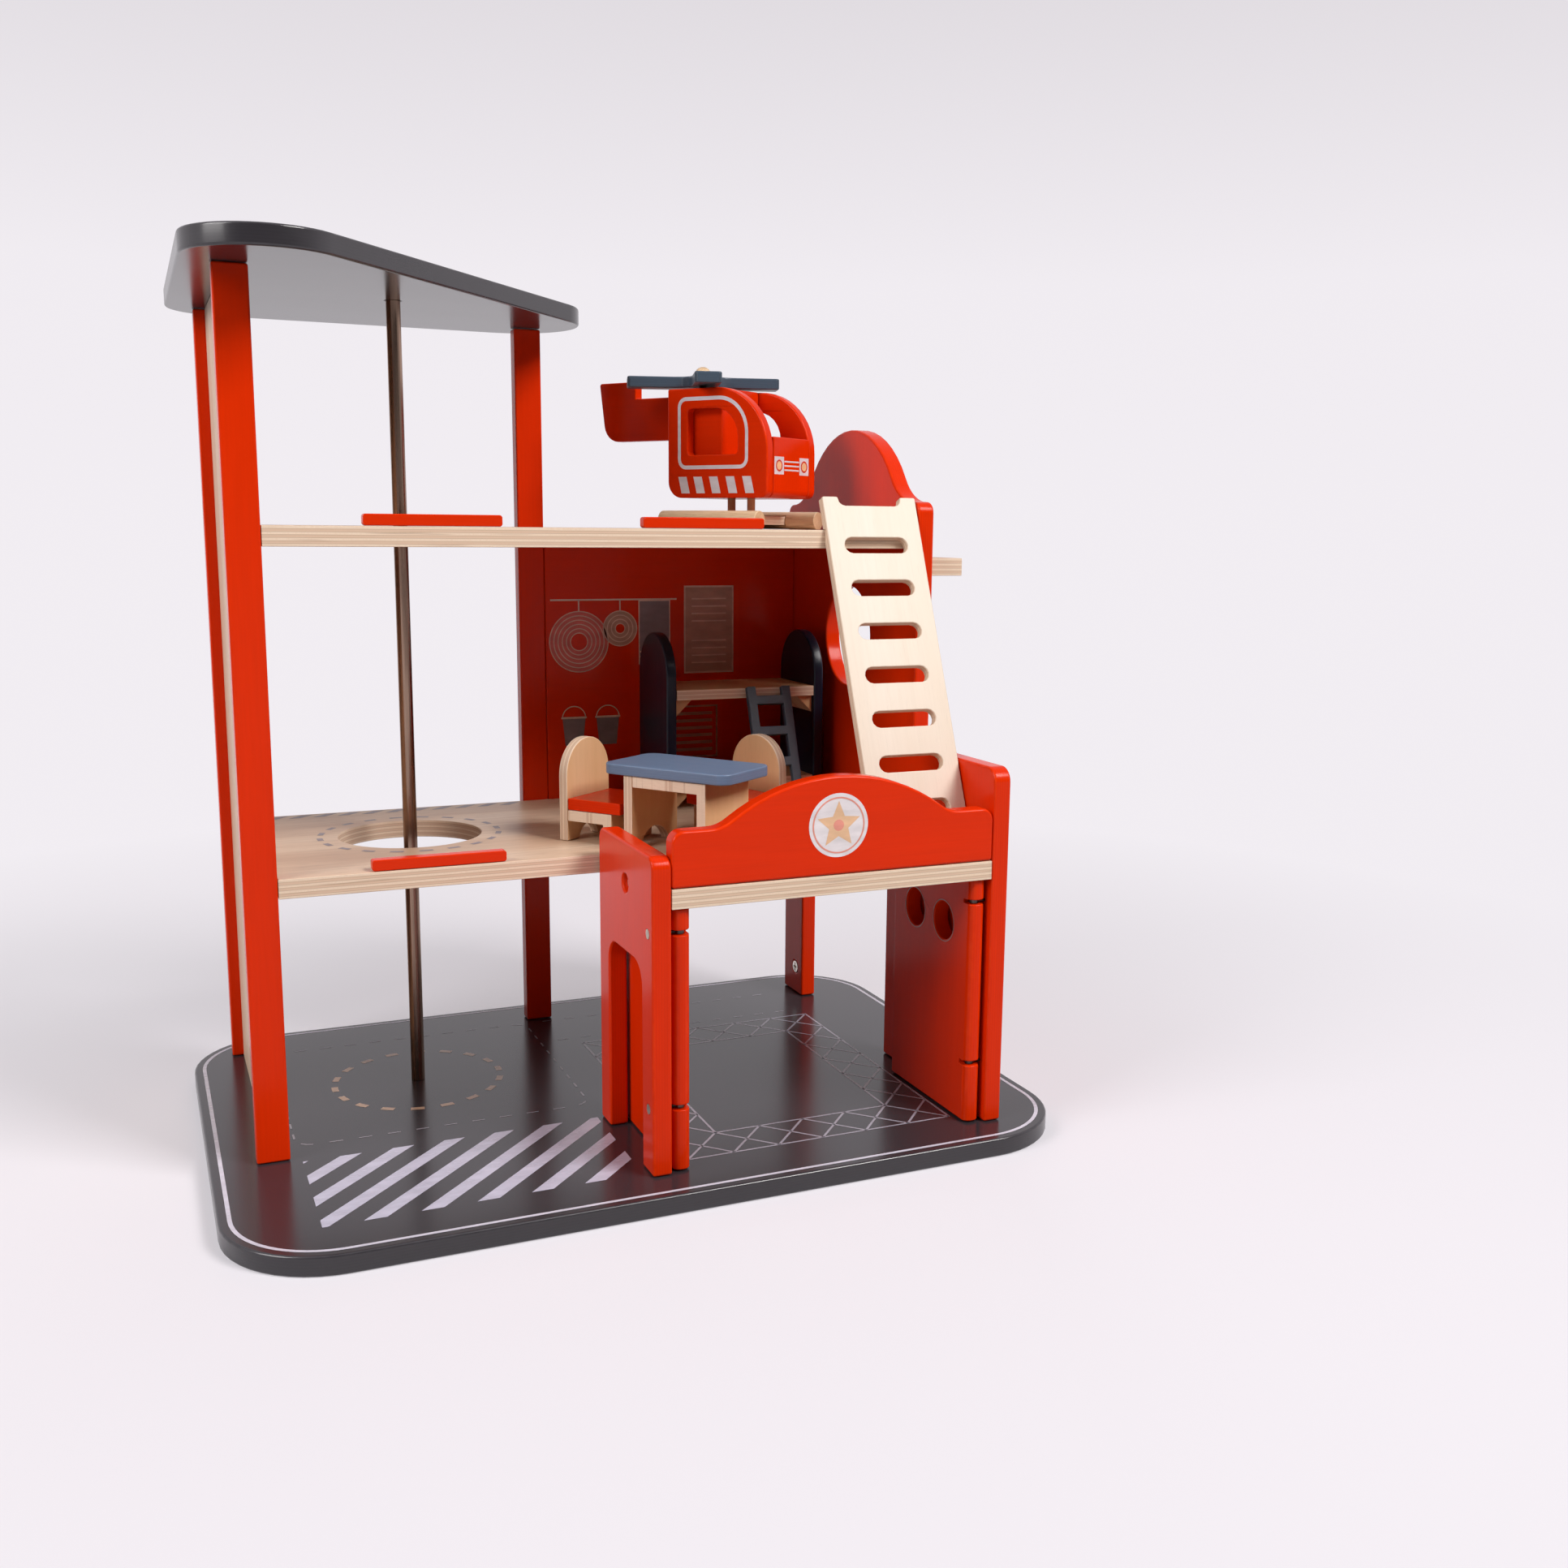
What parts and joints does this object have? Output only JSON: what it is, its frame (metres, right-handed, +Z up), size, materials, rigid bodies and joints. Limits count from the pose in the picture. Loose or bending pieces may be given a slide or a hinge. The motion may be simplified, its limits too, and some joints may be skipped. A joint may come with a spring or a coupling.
{
  "type": "toy fire station",
  "caption": "Wooden toy fire station with a garage, hinged doors, floors, a tower, a pole, hooked ladder, bunk bed, table, chairs and helicopter.",
  "frame": {"origin": "centre of the base plate's underside", "axes": "+X to the right, -Y to the front where the garage doors are, +Z up"},
  "size_m": [0.55, 0.3976, 0.57],
  "materials": {
    "red_paint": "glossy red paint over plywood",
    "graphite_paint": "satin dark grey paint over plywood",
    "plywood": "clear lacquered plywood and dowel",
    "slate_paint": "satin slate blue paint over plywood",
    "navy_paint": "satin navy paint over plywood",
    "bronze_tube": "dark bronze plated steel",
    "zinc": "plated steel hardware"
  },
  "bodies": {
    "station": {"base_plate": "graphite_paint", "front_left_post": "red_paint", "rear_left_post": "red_paint", "middle_rear_post": "red_paint", "tower_side_panel": "plywood", "first_floor": "plywood", "upper_floor": "plywood", "roof_plate": "graphite_paint", "fire_pole": "bronze_tube", "back_wall": "red_paint", "right_wall": "red_paint", "garage_left_wall": "red_paint", "parapet": "red_paint", "first_floor_curb": "red_paint", "upper_floor_curb_left": "red_paint", "upper_floor_curb_right": "red_paint", "outer_ledge": "plywood", "left_hinge_eye_lower": "zinc", "left_hinge_eye_upper": "zinc", "right_hinge_eye_lower": "zinc", "right_hinge_eye_upper": "zinc", "left_floor_screw": "zinc", "right_floor_screw": "zinc", "leg_barrel_nut": "zinc"},
    "left_door": {"left_door_leaf": "red_paint", "left_door_pin_lower": "zinc", "left_door_pin_upper": "zinc"},
    "right_door": {"right_door_leaf": "red_paint", "right_door_pin_lower": "zinc", "right_door_pin_upper": "zinc"},
    "climbing_ladder": {"leaning_ladder": "plywood"},
    "bunk_bed": {"bunk_left_end": "navy_paint", "bunk_right_end": "navy_paint", "bunk_upper_deck": "plywood", "bunk_lower_deck": "plywood", "bunk_upper_bracket_left": "plywood", "bunk_upper_bracket_right": "plywood", "bunk_lower_bracket_left": "plywood", "bunk_lower_bracket_right": "plywood"},
    "bunk_steps": {"bunk_ladder": "slate_paint"},
    "table": {"table_top": "slate_paint", "table_leg_left": "plywood", "table_leg_right": "plywood"},
    "left_chair": {"left_chair_back": "plywood", "left_chair_seat": "red_paint", "left_chair_underframe": "plywood"},
    "right_chair": {"right_chair_back": "plywood", "right_chair_seat": "red_paint", "right_chair_underframe": "plywood"},
    "helicopter": {"heli_near_side": "red_paint", "heli_far_side": "red_paint", "heli_core": "red_paint", "heli_tail": "red_paint", "heli_near_skid": "plywood", "heli_far_skid": "plywood", "heli_deck": "plywood", "heli_rear_strut": "plywood", "heli_front_strut": "plywood", "heli_rotor_pin": "plywood"},
    "rotor": {"heli_rotor": "slate_paint"}
  },
  "joints": [
    {"name": "left_door_hinge", "type": "hinge", "parent": "station", "child": "left_door", "pos_m": [-0.00305, -0.16155, 0.1], "axis": [0, 0, 1], "range_deg": [-180, 0]},
    {"name": "right_door_hinge", "type": "hinge", "parent": "station", "child": "right_door", "pos_m": [0.20545, -0.16155, 0.1], "axis": [0, 0, 1], "range_deg": [0, 180]},
    {"name": "rotor_spin", "type": "hinge", "parent": "helicopter", "child": "rotor", "pos_m": [0.10442, 0.08378, 0.52], "axis": [0, 0, 1], "continuous": true},
    {"name": "helicopter_lift", "type": "slide", "parent": "station", "child": "helicopter", "axis": [0, 0, 1], "range_m": [0, 0.1]},
    {"name": "ladder_slide", "type": "slide", "parent": "station", "child": "climbing_ladder", "axis": [1, 0, 0], "range_m": [-0.04, 0]},
    {"name": "bunk_lift", "type": "slide", "parent": "station", "child": "bunk_bed", "axis": [0, 0, 1], "range_m": [0, 0.06]},
    {"name": "bunk_ladder_slide", "type": "slide", "parent": "bunk_bed", "child": "bunk_steps", "axis": [1, 0, 0], "range_m": [-0.05, 0.02]},
    {"name": "table_lift", "type": "slide", "parent": "station", "child": "table", "axis": [0, 0, 1], "range_m": [0, 0.05]},
    {"name": "left_chair_slide", "type": "slide", "parent": "station", "child": "left_chair", "axis": [-0.6157, 0.788, 0], "range_m": [0, 0.03]},
    {"name": "right_chair_slide", "type": "slide", "parent": "station", "child": "right_chair", "axis": [0.9397, 0.342, 0], "range_m": [0, 0.03]}
  ]
}
